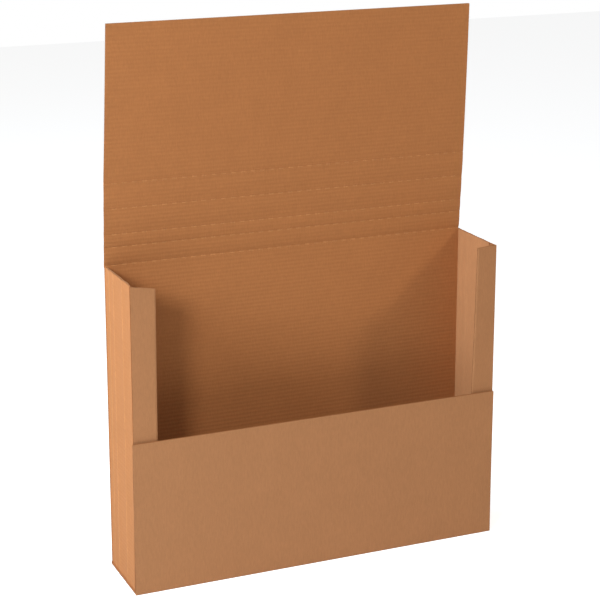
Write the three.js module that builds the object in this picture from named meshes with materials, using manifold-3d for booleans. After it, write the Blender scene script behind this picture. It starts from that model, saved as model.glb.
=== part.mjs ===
// Large one-piece mailer box, die-cut from a single sheet of kraft corrugated board.
// It stands on its bottom wall as it does when it is filled from the front: the lid is up,
// and the front flap is folded up outside the two side returns.
// Millimetres, +Z up, front towards -Y, origin at the middle of the underside.
import * as THREE from "three";
import { mergeGeometries, mergeVertices } from "three/addons/utils/BufferGeometryUtils.js";
import Module from "manifold-3d";

const wasm = await Module();
wasm.setup();

const inch = 25.4;

// Board
const board = 4; // caliper of the corrugated board, C flute
const flutePitch = 7.9;
const liner = 0.5;
const medium = 0.45; // fluted paper, measured straight through the board
const fluteCrest = 1; // half the width of a crest, where the medium meets a liner
const crushedAtCrease = 3; // board that a crease or a score flattens, on each side of its line
const cutMargin = 0.6; // paper left beyond the last flute at a free edge
const foldOuterRadius = 4.6; // outside of a 90 degree fold

// Space inside the box
const insideWidth = 30 * inch + 3; // nominal width and the room it is given
const insideHeight = 24 * inch;
const insideDepth = 146;

// Flaps
const frontPanelLength = 12 * inch; // from its crease to its free edge
const coverLength = 12 * inch;
const coverTaper = 5; // how far each side edge of the cover runs in at its free edge
const lidInset = 3.2; // each side edge of the lid stands in from the side wall by this
const lidLean = 4; // degrees that the open lid leans forward

// Depth scores: the box can also be folded shallower, at one of these inside depths
const shallowDepths = [1 * inch, 2 * inch, 4 * inch];
const fullDepth = 6 * inch;
const lidAllowance = 10; // crease to crease of the lid, over the nominal depth
const scoreHalfWidth = 1.7;
const scoreFloorHalfWidth = 0.4;
const scoreSink = 0.7;
const perforationPitch = 20.3;
const perforationCut = 10.5;
const perforationWidth = 0.6;

// Side returns
const returnWidth = 2 * inch;
const returnTaper = 4.5; // drop of each end of a return towards its free edge
const springHeld = 3; // degrees a return stands open where the front panel holds it
const springTop = 8.5; // degrees it stands open at the top, where nothing holds it
const springLevels = 8; // bands in which the return opens up

// Clearances
const creaseGap = 0.3; // running gap round the bead of a crease
const wallGap = 0.4; // side walls over the bottom wall
const lidGap = 1.2; // side walls under the closed lid
const returnGap = 0.5; // free edge of a return behind the front panel
const arcSteps = 6;

// Derived sizes
const half = board / 2;
const beadRadius = half;
const seatRadius = beadRadius + creaseGap;
const foldInnerRadius = foldOuterRadius - board;
const trayWidth = insideWidth + 2 * board;
const lidWidth = trayWidth - 2 * lidInset;
const radians = THREE.MathUtils.degToRad;
const returnFace = returnWidth - foldOuterRadius; // flat part of a return
const returnSetback = returnFace * Math.sin(radians(springHeld)) + returnGap;
const bottomDepth = board + insideDepth + board + returnSetback; // crease to crease
const lidDepth = fullDepth + lidAllowance;
const outsideDepth = bottomDepth + board;
const backFace = outsideDepth / 2; // outer face of the back panel
const backMiddle = backFace - half;
const bottomCreaseZ = half;
const lidCreaseZ = board + insideHeight + half;
const wallBottomZ = board + wallGap;
const wallTopZ = board + insideHeight - lidGap;
const frontTopZ = bottomCreaseZ + frontPanelLength;
const returnFaceY = backFace - 2 * board - insideDepth; // outer face of a return at its fold
const sideDepth = backMiddle - returnFaceY - half;

// Geometry helpers
function solidOf(geometry) {
  const bare = geometry.index ? geometry.toNonIndexed() : geometry.clone();
  bare.deleteAttribute("normal");
  bare.deleteAttribute("uv");
  const merged = mergeVertices(bare, 1e-4);
  return new wasm.Manifold(
    new wasm.Mesh({
      numProp: 3,
      vertProperties: new Float32Array(merged.attributes.position.array),
      triVerts: new Uint32Array(merged.index.array),
    }),
  );
}

function geometryOf(solid) {
  const mesh = solid.getMesh();
  const geometry = new THREE.BufferGeometry();
  geometry.setAttribute("position", new THREE.BufferAttribute(new Float32Array(mesh.vertProperties), 3));
  geometry.setIndex(new THREE.BufferAttribute(new Uint32Array(mesh.triVerts), 1));
  return geometry;
}

// One solid less a list of cutters that don't touch each other
function cutAway(solid, cutters) {
  return solid.subtract(solidOf(mergeGeometries(cutters)));
}

// Points on an arc, angles in degrees
function arc(centreX, centreY, radius, from, to) {
  const points = [];
  for (let step = 0; step <= arcSteps; step += 1) {
    const angle = radians(from + ((to - from) * step) / arcSteps);
    points.push([centreX + radius * Math.cos(angle), centreY + radius * Math.sin(angle)]);
  }
  return points;
}

function pathOf(points) {
  return points.map(([x, y]) => new THREE.Vector2(x, y));
}

// A section in the YZ plane, drawn out along X and centred on X = 0
function extrudeAcross(outline, width) {
  const shape = new THREE.Shape(pathOf(outline));
  const geometry = new THREE.ExtrudeGeometry(shape, { depth: width, bevelEnabled: false });
  geometry.applyMatrix4(
    new THREE.Matrix4().makeBasis(
      new THREE.Vector3(0, 1, 0),
      new THREE.Vector3(0, 0, 1),
      new THREE.Vector3(1, 0, 0),
    ),
  );
  return geometry.translate(-width / 2, 0, 0);
}

// Crease shapes, in a panel's own section: Y is outwards, Z runs along the panel.
// A flap starts in a round bead about its crease. The panel that carries it ends in a seat:
// open on the inner side, where the flap folds in, and lipped on the outer side.
const lipAngle = THREE.MathUtils.radToDeg(Math.acos(half / seatRadius));

function beadStart() {
  return arc(0, 0, beadRadius, 0, -180);
}

function seatStart() {
  return [...arc(0, 0, seatRadius, lipAngle, 90), [-half, seatRadius]];
}

function seatEnd(length) {
  return [[-half, length - seatRadius], ...arc(0, length, seatRadius, 270, 360 - lipAngle)];
}

function edgeEnd(length) {
  return [
    [-half, length],
    [half, length],
  ];
}

// Where a depth panel of this length is scored for the shallower boxes
function scoresOf(length) {
  return shallowDepths.map((depth) => length - (fullDepth - depth));
}

// The groove that a scoring rule presses into the inner face
function scoreGroove(distance) {
  return [
    [-half, distance - scoreHalfWidth],
    [-half + scoreSink, distance - scoreFloorHalfWidth],
    [-half + scoreSink, distance + scoreFloorHalfWidth],
    [-half, distance + scoreHalfWidth],
  ];
}

// Open tubes between the liners and the fluted medium, which alternate from side to side
function fluteTubes(from, to) {
  const step = flutePitch / 2;
  const count = Math.floor((to - from) / step) - 1;
  const first = (from + to) / 2 - ((count - 1) / 2) * step;
  const tubes = [];
  for (let index = 0; index < count; index += 1) {
    const side = index % 2 ? 1 : -1;
    const middle = first + index * step;
    const atLiner = side * (half - liner);
    const atCrest = -side * (half - liner - medium);
    const section = [
      [atLiner, middle - step + fluteCrest],
      [atLiner, middle + step - fluteCrest],
      [atCrest, middle + fluteCrest],
      [atCrest, middle - fluteCrest],
    ];
    tubes.push(extrudeAcross(section, trayWidth + 2 * board));
  }
  return tubes;
}

// The tubes of a whole panel, which stop short of its creases and scores
function flutesBetween(creases) {
  return creases
    .slice(1)
    .flatMap((line, index) => fluteTubes(creases[index] + crushedAtCrease, line - crushedAtCrease));
}

// Start, inner face with its scores, end; the outer face closes the outline
function panelOutline(start, scores, end) {
  return [...start, ...scores.flatMap(scoreGroove), ...end];
}

// Row of cuts through the board along one score
function perforation(distance, width) {
  const count = Math.floor(width / perforationPitch);
  const cuts = [];
  for (let index = 0; index < count; index += 1) {
    const cut = new THREE.BoxGeometry(perforationCut, 3 * board, perforationWidth);
    cuts.push(cut.translate((index - (count - 1) / 2) * perforationPitch, 0, distance));
  }
  return cuts;
}

// Material
const kraft = new THREE.MeshStandardMaterial({ color: 0xb07a50, roughness: 0.9, metalness: 0 });

function meshOf(name, geometry) {
  const mesh = new THREE.Mesh(geometry, kraft);
  mesh.name = name;
  return mesh;
}

// Plan section of the tray walls at one height, left half: back panel, side wall and return
function trayHalf(spring) {
  const left = -trayWidth / 2;
  const foldX = left + foldOuterRadius;
  const backFoldY = backFace - foldOuterRadius;
  const frontFoldY = returnFaceY + foldOuterRadius;
  const turned = 270 - spring;
  const along = [Math.cos(radians(spring)), -Math.sin(radians(spring))];
  const outerCorner = arc(foldX, frontFoldY, foldOuterRadius, 180, turned);
  const innerCorner = arc(foldX, frontFoldY, foldInnerRadius, turned, 180);
  const outerEnd = outerCorner[arcSteps];
  const innerEnd = innerCorner[0];
  const scores = scoresOf(sideDepth).flatMap((distance) =>
    scoreGroove(distance).map(([depth, at]) => [left + half - depth, backMiddle - at]),
  );
  return [
    ...arc(foldX, backFoldY, foldOuterRadius, 90, 180),
    ...outerCorner,
    [outerEnd[0] + along[0] * returnFace, outerEnd[1] + along[1] * returnFace],
    [innerEnd[0] + along[0] * returnFace, innerEnd[1] + along[1] * returnFace],
    ...innerCorner,
    ...scores.reverse(),
    ...arc(foldX, backFoldY, foldInnerRadius, 180, 90),
  ];
}

function traySection(spring) {
  const leftHalf = trayHalf(spring);
  const rightHalf = leftHalf.map(([x, y]) => [-x, y]).reverse();
  return [...leftHalf, ...rightHalf];
}

// Walls of the tray: plan sections stacked up, with the returns springing open towards the top
function trayWalls() {
  const levels = [{ z: wallBottomZ, spring: springHeld }];
  for (let step = 0; step <= springLevels; step += 1) {
    const share = step / springLevels;
    levels.push({
      z: frontTopZ + (wallTopZ - frontTopZ) * share,
      spring: springHeld + (springTop - springHeld) * Math.sin((share * Math.PI) / 2),
    });
  }
  const rings = levels.map(({ z, spring }) => traySection(spring).map(([x, y]) => [x, y, z]));
  const count = rings[0].length;
  const index = [];
  for (let level = 0; level < rings.length - 1; level += 1) {
    for (let point = 0; point < count; point += 1) {
      const next = (point + 1) % count;
      const low = level * count;
      const high = low + count;
      index.push(low + point, low + next, high + next, low + point, high + next, high + point);
    }
  }
  const floorFaces = THREE.ShapeUtils.triangulateShape(pathOf(rings[0]), []);
  const roofFaces = THREE.ShapeUtils.triangulateShape(pathOf(rings[rings.length - 1]), []);
  const roofStart = (rings.length - 1) * count;
  floorFaces.forEach(([a, b, c]) => index.push(a, c, b));
  roofFaces.forEach(([a, b, c]) => index.push(roofStart + a, roofStart + b, roofStart + c));
  const geometry = new THREE.BufferGeometry();
  geometry.setAttribute("position", new THREE.Float32BufferAttribute(rings.flat(2), 3));
  geometry.setIndex(index);
  return geometry;
}

// Wedges that slope the ends of a return towards its free edge
function returnEndCut(side, z, direction) {
  const start = trayWidth / 2 - foldOuterRadius;
  const reach = returnWidth + board;
  const deep = insideDepth / 2; // more than the return's own spread in depth
  const outline = [
    [0, 0],
    [-reach, (-direction * returnTaper * reach) / returnFace],
    [-reach, direction * board],
    [0, direction * board],
  ];
  const geometry = new THREE.ExtrudeGeometry(new THREE.Shape(pathOf(outline)), {
    depth: deep,
    bevelEnabled: false,
  });
  geometry.rotateX(Math.PI / 2).translate(0, deep / 2, 0);
  if (side < 0) {
    geometry.rotateZ(Math.PI);
  }
  return geometry.translate(side * start, returnFaceY, z);
}

function trayGeometry() {
  const height = lidCreaseZ - bottomCreaseZ;
  const backPlate = extrudeAcross(
    panelOutline(seatStart(), [], seatEnd(height)),
    trayWidth - 2 * foldOuterRadius,
  ).translate(0, backMiddle, bottomCreaseZ);
  let solid = solidOf(trayWalls()).add(solidOf(backPlate));
  for (const side of [-1, 1]) {
    solid = solid.subtract(solidOf(returnEndCut(side, wallTopZ, 1)));
    solid = solid.subtract(solidOf(returnEndCut(side, wallBottomZ, -1)));
  }
  return geometryOf(solid);
}

// Depth panel of a flap, with the unused scores, between its own crease and the next one
function depthPanelGeometry(length, width) {
  const scores = scoresOf(length);
  const outline = panelOutline(beadStart(), scores, seatEnd(length));
  const panel = solidOf(extrudeAcross(outline, width));
  const fluted = cutAway(panel, flutesBetween([0, ...scores, length]));
  const slits = scores.flatMap((distance) => perforation(distance, width));
  return geometryOf(cutAway(fluted, slits));
}

// Plain panel between its crease and a free edge
function endPanelGeometry(length, width) {
  const outline = panelOutline(beadStart(), [], edgeEnd(length));
  const panel = solidOf(extrudeAcross(outline, width));
  return geometryOf(cutAway(panel, fluteTubes(crushedAtCrease, length - cutMargin)));
}

function coverGeometry() {
  const widths = [lidWidth / 2, lidWidth / 2 - coverTaper];
  const outline = [
    [-widths[0], -board],
    [widths[0], -board],
    [widths[0], 0],
    [widths[1], coverLength],
    [widths[1], coverLength + board],
    [-widths[1], coverLength + board],
    [-widths[1], coverLength],
    [-widths[0], 0],
  ];
  const blade = new THREE.ExtrudeGeometry(new THREE.Shape(pathOf(outline)), {
    depth: 2 * board,
    bevelEnabled: false,
  });
  blade.rotateX(Math.PI / 2).translate(0, board, 0);
  return geometryOf(solidOf(endPanelGeometry(coverLength, lidWidth)).intersect(solidOf(blade)));
}

// A flap turns about the crease at its group's origin: 0 is flat with its parent, 90 folded in
function flap(mesh, fold) {
  const group = new THREE.Group();
  group.rotation.x = radians(fold);
  group.add(mesh);
  return group;
}

const mailer = new THREE.Group();
mailer.add(meshOf("tray", trayGeometry()));

const lidFlap = flap(meshOf("lid_top_wall", depthPanelGeometry(lidDepth, lidWidth)), lidLean);
lidFlap.position.set(0, backMiddle, lidCreaseZ);
const coverFlap = flap(meshOf("lid_cover", coverGeometry()), 0);
coverFlap.position.z = lidDepth;
lidFlap.add(coverFlap);
mailer.add(lidFlap);

// The bottom flap hangs from the lower crease, so its frame is turned upside down
const bottomFrame = new THREE.Group();
bottomFrame.rotation.set(Math.PI, 0, Math.PI);
bottomFrame.position.set(0, backMiddle, bottomCreaseZ);
const bottomFlap = flap(meshOf("bottom_wall", depthPanelGeometry(bottomDepth, trayWidth)), 90);
const frontFlap = flap(meshOf("front_panel", endPanelGeometry(frontPanelLength, trayWidth)), 90);
frontFlap.position.z = bottomDepth;
bottomFlap.add(frontFlap);
bottomFrame.add(bottomFlap);
mailer.add(bottomFrame);

export default mailer;
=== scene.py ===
import math
import bpy
from mathutils import Matrix, Vector


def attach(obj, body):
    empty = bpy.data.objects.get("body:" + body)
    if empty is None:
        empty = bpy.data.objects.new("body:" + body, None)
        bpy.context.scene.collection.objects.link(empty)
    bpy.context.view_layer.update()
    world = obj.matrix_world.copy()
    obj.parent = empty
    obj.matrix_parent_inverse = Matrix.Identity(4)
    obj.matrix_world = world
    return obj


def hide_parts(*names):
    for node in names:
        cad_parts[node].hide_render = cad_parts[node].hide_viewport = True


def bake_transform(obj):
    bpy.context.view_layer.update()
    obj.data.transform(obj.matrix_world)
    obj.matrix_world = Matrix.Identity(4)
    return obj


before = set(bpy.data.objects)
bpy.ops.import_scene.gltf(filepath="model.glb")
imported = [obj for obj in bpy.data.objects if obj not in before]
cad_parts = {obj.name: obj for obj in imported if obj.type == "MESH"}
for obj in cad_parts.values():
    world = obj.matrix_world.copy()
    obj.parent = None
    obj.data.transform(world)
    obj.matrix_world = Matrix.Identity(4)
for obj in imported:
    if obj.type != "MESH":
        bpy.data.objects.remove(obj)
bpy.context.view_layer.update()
mm = 0.001
inch = 25.4

# Camera at the photo's viewing angle, worked out from the corners of the box
cameraSettings = {
    "place": (-1.4188, -3.1895, 1.5389),
    "turn": 23.834,  # degrees to the right of straight ahead
    "tilt": -14.67,
    "roll": -0.037,
    "lens": 111.07,
    "sensor": 36.0,
    "shift": -0.0833,
    "near": 0.05,
    "far": 50.0,
}

# Pale floor, soft world light and four soft lamps that look at one point of the box
studio = {
    "floorSize": 14.0,
    "floorColour": (0.8, 0.8, 0.8, 1.0),
    "floorGlow": 0.7,  # only the camera sees this
    "worldLight": 0.26,
    "aim": (0.0, 0.0, 0.5),
    "sideLamp": {
        "towards": (-1.0, -0.16, 0.5),
        "size": 1.0,
        "distance": 3.2,
        "power": 101,
        "colour": (0.88, 1.0, 1.08),
    },
    "rimLamp": {
        "towards": (-1.0, 1.2, 0.5),
        "size": 1.0,
        "distance": 3.6,
        "power": 22,
        "colour": (0.6, 1.0, 1.6),
    },
    "keyLamp": {
        "towards": (-1.0, -1.05, 0.62),
        "size": 0.6,
        "distance": 3.6,
        "power": 45,
        "colour": (1.0, 1.0, 1.0),
    },
    "fillLamp": {
        "towards": (1.41, -1.0, 1.2),
        "size": 0.45,
        "distance": 3.8,
        "power": 38,
        "colour": (1.06, 0.96, 0.84),
    },
}

# Corrugated board, in millimetres
boardSettings = {
    "caliper": 4.0,
    "liner": 0.5,
    "medium": 0.42,
    "flutePitch": 7.9,
    "ridgeRows": 4,  # rows of the inner liner to a flute
    "waveRows": 6,  # rows of the fluted paper to a flute
    "outerRows": 6,  # rows of the outer liner between two lines
    "plainColumns": 12,
    "innerRidge": 0.24,  # how far the inner liner sinks between two flutes
    "creaseReach": 3.2,  # crushed board on each side of a crease
    "scoreReach": 3.0,
    "scoreHalfWidth": 2.3,
    "scoreSink": 0.18,
    "slitHalfWidth": 0.14,
    "slitRise": 1.1,  # the slit lies this far above the middle of its score
    "slitTop": 0.8,  # and its sunk strip ends this far above the slit
    "slitPress": 0.75,  # how far the knife pushes the lower edge of a slit in
    "slitMargin": 6.0,  # no slit this near to the side of a panel
    "slits": 38,  # in the width of a panel
    "stripBow": 0.036,  # how far the board bows between two scores, as a share of their distance
    "mostBow": 0.95,
}

# Sizes of the box, in millimetres
trayWidth = 773.0
lidWidth = 766.6
coverEnd = 756.6  # the lid narrows towards its free end
bottomWidth = 767.0  # the bottom wall at the back crease, between the rounded corners
backFace = 80.459  # outer face of the back panel
backMiddle = 78.459
bottomCrease = 2.0
lidCrease = 615.6
wallBottom = 4.4
wallTop = 612.4
frontTop = 306.8
lidDepth = 162.4
bottomDepth = 156.918
coverLength = 304.8
lidLean = 4.0  # degrees
returnFaceY = -73.541  # outer face of the side returns
returnFace = 46.2  # their length beyond the fold
foldRadius = 4.6  # outside of a rounded fold
halfBoard = boardSettings["caliper"] / 2
linerMiddle = halfBoard - boardSettings["liner"] / 2
waveHeight = halfBoard - boardSettings["liner"] - boardSettings["medium"] / 2


def deselectAll():
    if bpy.context.object and bpy.context.object.mode != "OBJECT":
        bpy.ops.object.mode_set(mode="OBJECT")
    bpy.ops.object.select_all(action="DESELECT")


def selectOnly(piece):
    deselectAll()
    piece.select_set(True)
    bpy.context.view_layer.objects.active = piece


def editOnly(piece):
    selectOnly(piece)
    bpy.ops.object.mode_set(mode="EDIT")


def applyModifiers(piece):
    selectOnly(piece)
    for modifier in list(piece.modifiers):
        bpy.ops.object.modifier_apply(modifier=modifier.name)


def applyPlace(piece):
    selectOnly(piece)
    bpy.ops.object.transform_apply(location=True, rotation=True, scale=True)


def selectVertices(piece, wanted):
    # in edit mode, leaves only the wanted vertices selected
    bpy.ops.mesh.select_mode(type="VERT")
    bpy.ops.mesh.select_all(action="DESELECT")
    bpy.ops.object.mode_set(mode="OBJECT")
    for vertex in piece.data.vertices:
        vertex.select = wanted(vertex.co / mm)
    bpy.ops.object.mode_set(mode="EDIT")


def selectFaces(piece, wanted):
    bpy.ops.mesh.select_mode(type="FACE")
    bpy.ops.mesh.select_all(action="DESELECT")
    bpy.ops.object.mode_set(mode="OBJECT")
    for face in piece.data.polygons:
        face.select = wanted(face.center / mm)
    bpy.ops.object.mode_set(mode="EDIT")


def extrudeBy(x, y, z):
    bpy.ops.mesh.extrude_region_move(TRANSFORM_OT_translate={"value": (x * mm, y * mm, z * mm)})


def moveBy(x, y, z):
    bpy.ops.transform.translate(value=(x * mm, y * mm, z * mm))


# Paper drawn out along a section: a grid one row high, whose top edge is extruded from point
# to point. A point is (depth, along), depth outwards along Y and along the panel up Z.
def drawPaper(name, left, right, columns, points):
    deselectAll()
    low, high = points[0], points[1]
    bpy.ops.mesh.primitive_grid_add(
        x_subdivisions=columns,
        y_subdivisions=1,
        size=1,
        rotation=(math.radians(90), 0, 0),
        location=((left + right) / 2 * mm, low[0] * mm, (low[1] + high[1]) / 2 * mm),
    )
    paper = bpy.context.object
    paper.name = name
    paper.scale = ((right - left) * mm, (high[1] - low[1]) * mm, 1)
    applyPlace(paper)
    editOnly(paper)
    middle = (low[1] + high[1]) / 2
    selectVertices(paper, lambda place: place.z > middle)
    moveBy(0, high[0] - low[0], 0)
    before = high
    for point in points[2:]:
        extrudeBy(0, point[0] - before[0], point[1] - before[1])
        before = point
    bpy.ops.object.mode_set(mode="OBJECT")
    return paper


def thicken(paper, thickness, faceMaterial, edgeMaterial):
    if not paper.data.materials:
        paper.data.materials.append(faceMaterial)
        paper.data.materials.append(edgeMaterial)
    wall = paper.modifiers.new("Thickness", "SOLIDIFY")
    wall.thickness = thickness * mm
    wall.offset = 0
    wall.material_offset_rim = 1
    applyModifiers(paper)
    return paper


def joinLayers(name, layers):
    deselectAll()
    for layer in layers:
        layer.select_set(True)
    bpy.context.view_layer.objects.active = layers[0]
    bpy.ops.object.join()
    board = bpy.context.object
    board.name = name
    board.data.name = name
    return board


# Where a depth panel of this length is scored for the boxes that are 1, 2 and 4 inches deep
def scoresOf(length):
    return [length - 5 * inch, length - 4 * inch, length - 2 * inch]


def bowAt(along, lines):
    # the board bows inwards between two lines
    for low, high in zip(lines, lines[1:]):
        if low <= along <= high:
            share = (along - low) / (high - low)
            bow = min(boardSettings["stripBow"] * (high - low), boardSettings["mostBow"])
            return -bow * 4 * share * (1 - share)
    return 0.0


def wave(along):
    return math.cos(2 * math.pi * along / boardSettings["flutePitch"])


def stations(start, end, rows, lines, reach):
    # heights at which the paper gets a row: evenly through the flutes, none beside a line
    step = boardSettings["flutePitch"] / rows
    heights = [start]
    count = math.ceil(start / step)
    while count * step < end - 0.3 * step:
        height = count * step
        if height > start + 0.3 * step and all(abs(height - line) > reach for line in lines):
            heights.append(height)
        count += 1
    heights.append(end)
    return heights


def innerPoints(start, end, lines, scores):
    reach = boardSettings["scoreReach"]
    heights = stations(start, end, boardSettings["ridgeRows"], scores, reach)
    points = [(-linerMiddle + boardSettings["innerRidge"] * (1 - wave(z)) / 2, z) for z in heights]
    for line in scores:
        slit = boardSettings["slitHalfWidth"]
        rise = boardSettings["slitRise"]
        sink = boardSettings["scoreSink"]
        points += [
            (-linerMiddle, line - reach + 0.1),
            (-linerMiddle, line + rise - boardSettings["scoreHalfWidth"]),
            (-linerMiddle + sink, line + rise - slit),
            (-linerMiddle + sink, line + rise + slit),
            (-linerMiddle, line + rise + boardSettings["slitTop"]),
            (-linerMiddle, line + reach - 0.1),
        ]
    points.sort(key=lambda point: point[1])
    return [(depth + bowAt(z, lines), z) for depth, z in points]


def outerPoints(start, end, lines, scores):
    heights = {start, end}
    for low, high in zip(lines, lines[1:]):
        for step in range(1, boardSettings["outerRows"]):
            heights.add(low + (high - low) * step / boardSettings["outerRows"])
    for line in scores:
        heights.add(line + boardSettings["slitRise"] - boardSettings["slitHalfWidth"])
        heights.add(line + boardSettings["slitRise"] + boardSettings["slitHalfWidth"])
    kept = sorted(z for z in heights if start <= z <= end)
    return [(linerMiddle + bowAt(z, lines), z) for z in kept]


def mediumRuns(start, end, lines):
    # the fluted paper is crushed flat at every line, so it is drawn from line to line
    runs = []
    for low, high in zip(lines, lines[1:]):
        first = max(low + boardSettings["scoreReach"], start)
        last = min(high - boardSettings["scoreReach"], end)
        heights = stations(first, last, boardSettings["waveRows"], [], 0)
        runs.append([(-waveHeight * wave(z) + bowAt(z, lines), z) for z in heights])
    return runs


# Dashes repeat across a width: true near the middle of one, reach is a share of the pitch
dashReach = 0.25
dashMiddle = 0.1


def inDash(x, pitch, reach):
    return abs(x / pitch - round(x / pitch)) < reach


# In edit mode, gives the selected faces the lighter paper that stands third in the list: paler cut fibres
# with a painted highlight
def giveCutFibreAndHighlight(paper):
    paper.active_material_index = 2
    bpy.ops.object.material_slot_assign()


def addPapers(paper, materials):
    for material in materials:
        paper.data.materials.append(material)


def cutSlits(paper, width, scores, press):
    # dashed slits through the liner, each with its lower edge pushed in by the knife
    pitch = width / boardSettings["slits"]
    slit = boardSettings["slitHalfWidth"]
    inside = width / 2 - boardSettings["slitMargin"]
    editOnly(paper)

    def chosen(place, low, high, reach):
        below = any(low < line + boardSettings["slitRise"] - place.z < high for line in scores)
        return below and abs(place.x) < inside and inDash(place.x, pitch, reach)

    selectFaces(paper, lambda centre: chosen(centre, -slit, slit, dashReach))
    bpy.ops.mesh.delete(type="FACE")
    if press:
        selectVertices(paper, lambda place: chosen(place, slit - 0.02, slit + 0.02, dashMiddle))
        moveBy(0, press, 0)
        # the faces just below each slit get lighter paper: paler cut fibres and a painted highlight of the
        # lip catching the light from above
        selectFaces(paper, lambda centre: chosen(centre, slit, boardSettings["scoreHalfWidth"], dashReach))
        addPapers(paper, [kraftInner, boardEdge, cutFibreAndHighlightPaper])
        giveCutFibreAndHighlight(paper)
    bpy.ops.object.mode_set(mode="OBJECT")


# A flat flap of board from its inner liner to its outer one. Its widths are those at the crease
# that it hangs on and at its far end, and lines holds its creases and scores.
def makePanel(name, body, widths, start, end, lines, scores, turn):
    width = max(widths)
    side = width / 2
    plain = boardSettings["plainColumns"]
    columns = boardSettings["slits"] * 4 if scores else plain
    inner = drawPaper(name + "_inner", -side, side, columns, innerPoints(start, end, lines, scores))
    outer = drawPaper(name + "_outer", -side, side, columns, outerPoints(start, end, lines, scores))
    runs = mediumRuns(start, end, lines)
    flutes = [drawPaper(name + "_flutes", -side, side, plain, run) for run in runs]
    if scores:
        cutSlits(inner, width, scores, boardSettings["slitPress"])
        cutSlits(outer, width, scores, 0)
    if widths[0] != widths[1]:
        for paper in [inner, outer, *flutes]:
            for sign in (-1, 1):
                editOnly(paper)
                bpy.ops.mesh.select_all(action="SELECT")
                edge = Vector((sign * widths[0] / 2 * mm, 0, 0))
                outwards = Vector((sign * lines[-1], 0, (widths[0] - widths[1]) / 2)).normalized()
                bpy.ops.mesh.bisect(plane_co=edge, plane_no=outwards, clear_outer=True)
                bpy.ops.object.mode_set(mode="OBJECT")
    layers = [
        thicken(inner, boardSettings["liner"], kraftInner, boardEdge),
        thicken(outer, boardSettings["liner"], kraftOuter, boardEdge),
    ]
    layers += [thicken(paper, boardSettings["medium"], flutedPaper, boardEdge) for paper in flutes]
    board = joinLayers(name, layers)
    board.matrix_world = turn
    applyPlace(board)
    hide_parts(body)
    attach(board, body)
    print("panel", name, len(board.data.polygons), "faces")
    return board


# Board that runs across a crease, crushed by the creasing rule. It is drawn flat, then folded.
# A section point is (depth, along), once round from the outer face to the inner one.
creaseSettings = {
    "outer": [
        (1.35, -4.4),
        (1.4, -3.3),
        (1.93, -3.05),
        (1.9, -1.8),
        (1.78, 0.0),
        (1.9, 1.8),
        (1.93, 3.05),
        (1.4, 3.3),
        (1.35, 4.4),
    ],
    "foldedInner": [
        (-1.35, 4.4),
        (-1.4, 3.3),
        (-1.93, 3.05),
        (-1.3, 1.5),
        (-0.75, 0.0),
        (-1.3, -1.5),
        (-1.93, -3.05),
        (-1.4, -3.3),
        (-1.35, -4.4),
    ],
    "openInner": [
        (-1.35, 4.4),
        (-1.4, 3.3),
        (-1.96, 3.05),
        (-1.96, 1.2),
        (-1.55, 0.9),
        (-1.3, 0.7),
        (-1.96, -1.9),
        (-1.96, -3.05),
        (-1.4, -3.3),
        (-1.35, -4.4),
    ],
    "groove": (-1.3, 0.7),  # the point of an open crease that is pressed in, in dashes
    "cutFibreAndHighlightDash": (-1.9, 0.7),  # heights between which the dashes get lighter paper: paler crushed fibres and a painted highlight
    "press": 0.5,
    "reach": 3.3,
    "dashes": 38,
}


def makeCrease(name, width, turn, fold, inner):
    section = creaseSettings["outer"] + creaseSettings[inner]
    reach = creaseSettings["reach"]
    pitch = width / creaseSettings["dashes"]
    band = drawPaper(name, -width / 2, width / 2, creaseSettings["dashes"] * 4, section[:2])
    editOnly(band)
    selectVertices(band, lambda place: place.z > section[0][1] + 0.5)
    before = section[1]
    for point in section[2:] + section[:1]:
        extrudeBy(0, point[0] - before[0], point[1] - before[1])
        before = point
    bpy.ops.mesh.select_all(action="SELECT")
    bpy.ops.mesh.remove_doubles(threshold=0.01 * mm)
    selectVertices(band, lambda place: abs(place.x) > width / 2 - 1)
    bpy.ops.mesh.select_mode(type="EDGE")
    bpy.ops.mesh.fill_holes(sides=0)
    bpy.ops.mesh.select_all(action="SELECT")
    bpy.ops.mesh.normals_make_consistent(inside=False)
    addPapers(band, [kraftOuter, kraftInner, cutFibreAndHighlightPaper])
    selectFaces(band, lambda centre: centre.y < 0)
    band.active_material_index = 1
    bpy.ops.object.material_slot_assign()

    # dashes in the open crease groove get lighter paper: paler crushed fibres and a painted highlight
    # where the groove catches the light
    def cutFibreAndHighlightDash(centre):
        low, high = creaseSettings["cutFibreAndHighlightDash"]
        inside = centre.y < creaseSettings["groove"][0] - 0.1
        return inside and low < centre.z < high and inDash(centre.x, pitch, dashReach)

    def pressed(place):
        depth, along = creaseSettings["groove"]
        there = abs(place.y - depth) < 0.05 and abs(place.z - along) < 0.05
        return there and inDash(place.x, pitch, dashMiddle)

    if inner == "openInner":
        selectFaces(band, cutFibreAndHighlightDash)
        giveCutFibreAndHighlight(band)
        selectVertices(band, pressed)
        moveBy(0, creaseSettings["press"], 0)
    bpy.ops.object.mode_set(mode="OBJECT")
    # each row turns by its share of the fold
    for vertex in band.data.vertices:
        share = min(max((vertex.co.z / mm + reach) / (2 * reach), 0), 1)
        share = share * share * (3 - 2 * share)
        vertex.co = Matrix.Rotation(math.radians(fold * share), 3, "X") @ vertex.co
    band.matrix_world = turn
    applyPlace(band)
    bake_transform(band)
    print("crease", name, len(band.data.polygons), "faces")
    return band


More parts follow.
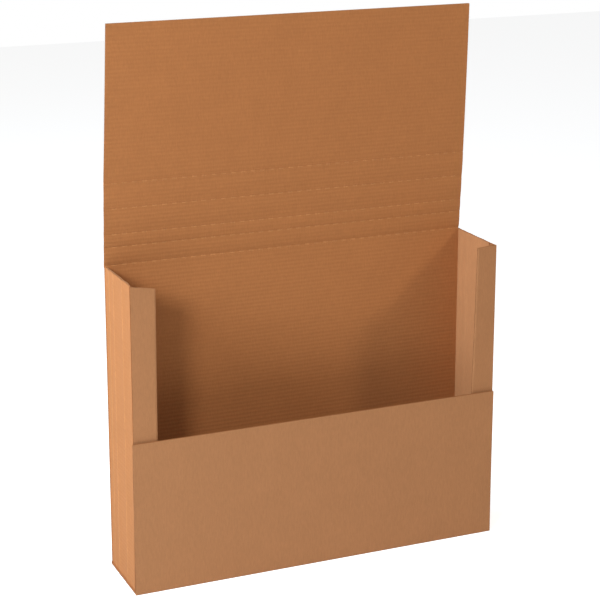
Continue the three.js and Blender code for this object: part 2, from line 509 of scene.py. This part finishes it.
# The tray is one folded stretch: half of it is drawn out round the corners, then mirrored
traySettings = {
    "spread": 2.9,  # what the folds are moved out on each side
    "shift": 2.7,  # what the whole tray stands further right
    "wallFoot": 0.1,  # height of the lower edge of the side walls
    "backColumns": 3,
    "bayRows": 3,  # steps between two scores of a side wall
    "cornerSteps": 5,
    "waveRows": 4,
    "outerRows": 48,
    "scores": [23.0, 48.4, 99.2],  # from the middle of the back panel
    "groove": (1.7, 0.5, 0.4),  # half width, half width of its floor, and depth
    "sideBow": 0.75,
    "bowShare": 0.03,  # and no more than this share of the distance between two scores
    "splay": {"left": (1.4, 0.2), "right": (0.0, 0.0)},  # degrees open, at the foot and above
    "spring": {"left": -3.0, "right": 3.0},  # degrees that the top of a return springs open
    "returnTaper": {"left": -0.05, "right": 0.09},  # share of its length lost towards the top
    "returnSlope": {"left": 4.0, "right": -3.0},  # what its top end drops more
    "returnDrop": 5.5,
    "returnExtra": 1.5,
    "cutWidth": 3.0,  # the cut edge is crushed over this width
    "cutPress": 0.55,  # to this share of the board
}


# Turns one vertex about an upright line
def turnAbout(vertex, x, y, degrees):
    pivot = Vector((x * mm, y * mm, 0))
    vertex.co = pivot + Matrix.Rotation(math.radians(degrees), 3, "Z") @ (vertex.co - pivot)


def drawTrayLayer(name, points, scored):
    # half a layer: back panel from the middle, corner, side wall, corner, return
    foldX = trayWidth / 2 + traySettings["spread"] - foldRadius
    backFoldY = backFace - foldRadius
    frontFoldY = returnFaceY + foldRadius

    def roundCorner(y):
        bpy.ops.mesh.spin(
            steps=traySettings["cornerSteps"],
            angle=math.radians(-90),
            center=(foldX * mm, y * mm, 0),
            axis=(0, 0, 1),
        )

    section = [(depth + backMiddle, z) for depth, z in points]
    paper = drawPaper(name, 0, foldX, traySettings["backColumns"], section)
    editOnly(paper)
    selectVertices(paper, lambda place: place.x > foldX - 0.01)
    roundCorner(backFoldY)
    stops = []
    lines = [backMiddle - distance for distance in traySettings["scores"]]
    for low, high in zip([backFoldY] + lines, lines + [frontFoldY]):
        bow = min(traySettings["sideBow"], traySettings["bowShare"] * (low - high))
        for step in range(1, traySettings["bayRows"] + 1):
            share = step / traySettings["bayRows"]
            stops.append((low + (high - low) * share, -bow * 4 * share * (1 - share)))
    if scored:
        wide, floor, sink = traySettings["groove"]
        stops = [stop for stop in stops if all(abs(stop[0] - line) > 0.1 for line in lines)]
        for line in lines:
            stops += [(line + wide, 0), (line + floor, sink)]
            stops += [(line - floor, sink), (line - wide, 0)]
    stops.sort(reverse=True)
    before = (backFoldY, 0)
    for stop in stops:
        extrudeBy(stop[1] - before[1], stop[0] - before[0], 0)
        before = stop
    roundCorner(frontFoldY)
    returnLength = returnFace + traySettings["returnExtra"]
    cut = traySettings["cutWidth"]
    for step in (returnLength / 2, returnLength / 2 - cut, cut):
        extrudeBy(-step, 0, 0)
    if scored:
        # the score grooves of the inner liner get lighter paper: paler crushed fibres and a painted
        # highlight along the groove
        addPapers(paper, [kraftInner, boardEdge, cutFibreAndHighlightPaper])
        selectFaces(paper, lambda centre: any(abs(centre.y - line) < wide for line in lines))
        giveCutFibreAndHighlight(paper)

    # only the side wall reaches down to the floor
    def belowEnds(centre):
        return centre.z < wallBottom and not frontFoldY <= centre.y <= backFoldY

    selectFaces(paper, belowEnds)
    bpy.ops.mesh.delete(type="FACE")
    # sloped ends of the return
    for level, direction in ((wallTop, 1), (wallBottom, -1)):
        selectFaces(paper, lambda centre: centre.y < frontFoldY - 0.5 and centre.x < foldX)
        slope = Vector((-traySettings["returnDrop"] * direction, 0, returnFace * direction)).normalized()
        corner = (foldX * mm, 0, level * mm)
        bpy.ops.mesh.bisect(plane_co=corner, plane_no=slope, clear_outer=True)
    bpy.ops.object.mode_set(mode="OBJECT")
    flip = paper.modifiers.new("OtherHalf", "MIRROR")
    flip.use_axis = (True, False, False)
    flip.use_mirror_merge = True
    flip.merge_threshold = 0.05 * mm
    applyModifiers(paper)
    # the returns are held by the front panel and move more towards the top, and the left wall
    # stands a little open at its foot
    for vertex in paper.data.vertices:
        side, which = (1, "right") if vertex.co.x > 0 else (-1, "left")
        x, y, z = vertex.co / mm
        share = min(max((z - frontTop) / (wallTop - frontTop), 0), 1)
        length = foldX - side * x
        if y < frontFoldY - 0.4 and length > 0:
            if length > returnLength - 1:
                middle = returnFaceY + halfBoard
                y = middle + (y - middle) * traySettings["cutPress"]
            x = side * (foldX - length * (1 - traySettings["returnTaper"][which] * share))
            drop = traySettings["returnSlope"][which] * share * length / returnFace
            vertex.co = (x * mm, y * mm, (z - drop) * mm)
            spring = traySettings["spring"][which] * math.sin(share * math.pi / 2)
            turnAbout(vertex, side * foldX, frontFoldY, side * spring)
        if y < backFoldY - 0.1:
            low, high = traySettings["splay"][which]
            splay = high + (low - high) * max(1 - z / frontTop, 0)
            turnAbout(vertex, side * foldX, backFoldY, side * splay)
        vertex.co.x += traySettings["shift"] * mm
    return paper


def makeTray():
    innerRows = []
    for z in stations(wallBottom, wallTop, boardSettings["ridgeRows"], [], 0):
        sunk = boardSettings["innerRidge"] * (1 - wave(z - bottomCrease)) / 2
        innerRows.append((sunk - linerMiddle, z))
    waveRows = []
    for z in stations(wallBottom, wallTop, traySettings["waveRows"], [], 0):
        waveRows.append((-waveHeight * wave(z - bottomCrease), z))
    count = traySettings["outerRows"]
    outerRows = []
    for row in range(count + 1):
        outerRows.append((linerMiddle, wallBottom + (wallTop - wallBottom) * row / count))
    for rows in (innerRows, outerRows, waveRows):
        rows.insert(0, (rows[0][0], traySettings["wallFoot"]))
    inner = drawTrayLayer("tray_inner", innerRows, True)
    outer = drawTrayLayer("tray_outer", outerRows, False)
    flutes = drawTrayLayer("tray_flutes", waveRows, False)
    layers = [
        thicken(inner, boardSettings["liner"], kraftInner, boardEdge),
        thicken(outer, boardSettings["liner"], kraftOuter, boardEdge),
        thicken(flutes, boardSettings["medium"], flutedPaper, boardEdge),
    ]
    tray = joinLayers("tray_board", layers)
    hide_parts("tray")
    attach(tray, "tray")
    tray.data.calc_loop_triangles()
    print("tray", len(tray.data.loop_triangles), "triangles")
    return tray


# Kraft paper. A noise is its scale, its detail and its stretch.
paperSettings = {
    "roughness": 0.86,
    "specular": 0.25,
    "bumpDistance": 0.0004,
    "blotches": (14, 3, (1, 1, 1)),
    "fibres": (420, 4, (1, 1, 0.22)),
    "speckle": (1500, 2, (1, 1, 1)),
    "kraft_inner": {"colour": (0.397, 0.152, 0.049), "contrast": 0.06, "bump": 0.5},
    "kraft_outer": {"colour": (0.415, 0.187, 0.079), "contrast": 0.06, "bump": 0.35},
    "fluted_paper": {"colour": (0.36, 0.15, 0.055), "contrast": 0.12, "bump": 0.5},
    "board_edge": {"colour": (0.36, 0.16, 0.066), "contrast": 0.2, "bump": 0.8},
    # lighter paper for the slit edges, the open crease dashes and the tray score grooves: partly paler cut
    # and crushed fibres, partly a painted highlight where these edges catch the light
    "cut_fibre_and_highlight_paper": {"colour": (0.435, 0.18, 0.063), "contrast": 0.15, "bump": 0.6},
}


def makePaper(name):
    paper = paperSettings[name]
    contrast = paper["contrast"]
    material = bpy.data.materials.new(name)
    material.use_nodes = True
    nodes = material.node_tree.nodes
    links = material.node_tree.links
    shader = nodes["Principled BSDF"]
    shader.inputs["Roughness"].default_value = paperSettings["roughness"]
    shader.inputs["Specular IOR Level"].default_value = paperSettings["specular"]
    place = nodes.new("ShaderNodeTexCoord")

    def noise(kind):
        scale, detail, stretch = paperSettings[kind]
        mapping = nodes.new("ShaderNodeMapping")
        mapping.inputs["Scale"].default_value = stretch
        links.new(place.outputs["Object"], mapping.inputs["Vector"])
        cloud = nodes.new("ShaderNodeTexNoise")
        cloud.inputs["Scale"].default_value = scale
        cloud.inputs["Detail"].default_value = detail
        cloud.inputs["Roughness"].default_value = 0.6
        links.new(mapping.outputs["Vector"], cloud.inputs["Vector"])
        return cloud

    # makes the colour lighter and darker by this share
    def shade(source, share, before):
        spread = nodes.new("ShaderNodeMapRange")
        spread.inputs["From Min"].default_value = 0.3
        spread.inputs["From Max"].default_value = 0.7
        spread.inputs["To Min"].default_value = 1 - share
        spread.inputs["To Max"].default_value = 1 + share
        links.new(source.outputs["Fac"], spread.inputs["Value"])
        scaled = nodes.new("ShaderNodeVectorMath")
        scaled.operation = "SCALE"
        if before is None:
            scaled.inputs[0].default_value = paper["colour"]
        else:
            links.new(before, scaled.inputs[0])
        links.new(spread.outputs["Result"], scaled.inputs["Scale"])
        return scaled.outputs["Vector"]

    fibres = noise("fibres")
    tone = shade(noise("blotches"), contrast * 0.35, None)
    tone = shade(fibres, contrast, tone)
    tone = shade(noise("speckle"), contrast * 0.6, tone)
    links.new(tone, shader.inputs["Base Color"])

    rough = nodes.new("ShaderNodeBump")
    rough.inputs["Strength"].default_value = paper["bump"]
    rough.inputs["Distance"].default_value = paperSettings["bumpDistance"]
    links.new(fibres.outputs["Fac"], rough.inputs["Height"])
    links.new(rough.outputs["Normal"], shader.inputs["Normal"])
    return material


def makeStudio():
    deselectAll()
    bpy.ops.mesh.primitive_plane_add(size=studio["floorSize"], location=(0, 0, 0))
    floor = bpy.context.object
    floor.name = "floor"
    material = bpy.data.materials.new("pale_floor")
    material.use_nodes = True
    nodes = material.node_tree.nodes
    links = material.node_tree.links
    shader = nodes["Principled BSDF"]
    shader.inputs["Base Color"].default_value = studio["floorColour"]
    shader.inputs["Roughness"].default_value = 1.0
    shader.inputs["Specular IOR Level"].default_value = 0.0
    shader.inputs["Emission Color"].default_value = (1.0, 1.0, 1.0, 1.0)
    rays = nodes.new("ShaderNodeLightPath")
    glow = nodes.new("ShaderNodeMath")
    glow.operation = "MULTIPLY"
    glow.inputs[1].default_value = studio["floorGlow"]
    links.new(rays.outputs["Is Camera Ray"], glow.inputs[0])
    links.new(glow.outputs[0], shader.inputs["Emission Strength"])
    floor.data.materials.append(material)

    world = bpy.data.worlds.new("studio")
    bpy.context.scene.world = world
    world.use_nodes = True
    nodes = world.node_tree.nodes
    links = world.node_tree.links
    background = nodes["Background"]
    background.inputs["Color"].default_value = (1.0, 1.0, 1.0, 1.0)
    rays = nodes.new("ShaderNodeLightPath")
    seen = nodes.new("ShaderNodeMath")
    seen.operation = "MAXIMUM"
    links.new(rays.outputs["Is Camera Ray"], seen.inputs[0])
    links.new(rays.outputs["Is Glossy Ray"], seen.inputs[1])
    strength = nodes.new("ShaderNodeMapRange")
    strength.inputs["To Min"].default_value = studio["worldLight"]
    strength.inputs["To Max"].default_value = 1.0
    links.new(seen.outputs[0], strength.inputs["Value"])
    links.new(strength.outputs["Result"], background.inputs["Strength"])

    aim = Vector(studio["aim"])
    for name in ("sideLamp", "rimLamp", "keyLamp", "fillLamp"):
        lamp = studio[name]
        towards = Vector(lamp["towards"]).normalized()
        bpy.ops.object.light_add(type="AREA", location=aim + towards * lamp["distance"])
        light = bpy.context.object
        light.name = name
        light.data.size = lamp["size"]
        light.data.energy = lamp["power"]
        light.data.color = lamp["colour"]
        light.rotation_mode = "QUATERNION"
        light.rotation_quaternion = (-towards).to_track_quat("-Z", "Y")
    print("studio made")


def makeCamera():
    bpy.ops.object.camera_add(location=cameraSettings["place"])
    camera = bpy.context.object
    tilt = math.radians(90 + cameraSettings["tilt"])
    roll = math.radians(cameraSettings["roll"])
    turn = math.radians(-cameraSettings["turn"])
    camera.rotation_euler = (tilt, roll, turn)
    camera.data.lens = cameraSettings["lens"]
    camera.data.sensor_width = cameraSettings["sensor"]
    camera.data.shift_y = cameraSettings["shift"]
    camera.data.clip_start = cameraSettings["near"]
    camera.data.clip_end = cameraSettings["far"]
    bpy.context.scene.camera = camera
    bpy.context.scene.view_settings.view_transform = "Standard"
    print("camera placed")


# Where each panel stands. A panel is drawn with Y outwards and Z along it.
def turnOf(degrees):
    return Matrix.Rotation(math.radians(degrees), 4, "X")


def moveOf(y, z):
    return Matrix.Translation((0, y * mm, z * mm))


lidFoot = moveOf(backMiddle, lidCrease)
lidPlace = lidFoot @ turnOf(lidLean)
coverPlace = lidPlace @ moveOf(0, lidDepth)
backFoot = moveOf(backMiddle, bottomCrease) @ turnOf(180) @ Matrix.Rotation(math.pi, 4, "Z")
bottomPlace = backFoot @ turnOf(90)
bottomEnd = bottomPlace @ moveOf(0, bottomDepth)
frontPlace = bottomEnd @ turnOf(90)

makeCamera()
makeStudio()
kraftInner = makePaper("kraft_inner")
kraftOuter = makePaper("kraft_outer")
flutedPaper = makePaper("fluted_paper")
boardEdge = makePaper("board_edge")
# lighter paper: paler cut fibres with a painted highlight on slit edges, crease dashes and score grooves
cutFibreAndHighlightPaper = makePaper("cut_fibre_and_highlight_paper")
print("papers made")

reach = boardSettings["creaseReach"]
lidScores = scoresOf(lidDepth)
lidLines = [0, *lidScores, lidDepth]
lidEnd = lidDepth - reach
bottomScores = scoresOf(bottomDepth)
bottomLines = [0, *bottomScores, bottomDepth]
bottomStop = bottomDepth - reach
coverLines = [0, coverLength]
lidWidths = (lidWidth, lidWidth)
coverWidths = (lidWidth, coverEnd)
bottomWidths = (bottomWidth, trayWidth)
frontWidths = (trayWidth, trayWidth)

makeTray()
makePanel("lid_top_board", "lid_top_wall", lidWidths, reach, lidEnd, lidLines, lidScores, lidPlace)
makePanel("lid_cover_board", "lid_cover", coverWidths, reach, coverLength, coverLines, [], coverPlace)
makePanel(
    "bottom_board", "bottom_wall", bottomWidths, reach, bottomStop, bottomLines, bottomScores, bottomPlace
)
makePanel("front_board", "front_panel", frontWidths, reach, coverLength, coverLines, [], frontPlace)

makeCrease("lid_crease", lidWidth, lidFoot, lidLean, "openInner")
makeCrease("cover_crease", lidWidth, coverPlace, 0, "openInner")
makeCrease("bottom_crease", bottomWidth, backFoot, 90, "foldedInner")
makeCrease("front_crease", trayWidth, bottomEnd, 90, "foldedInner")
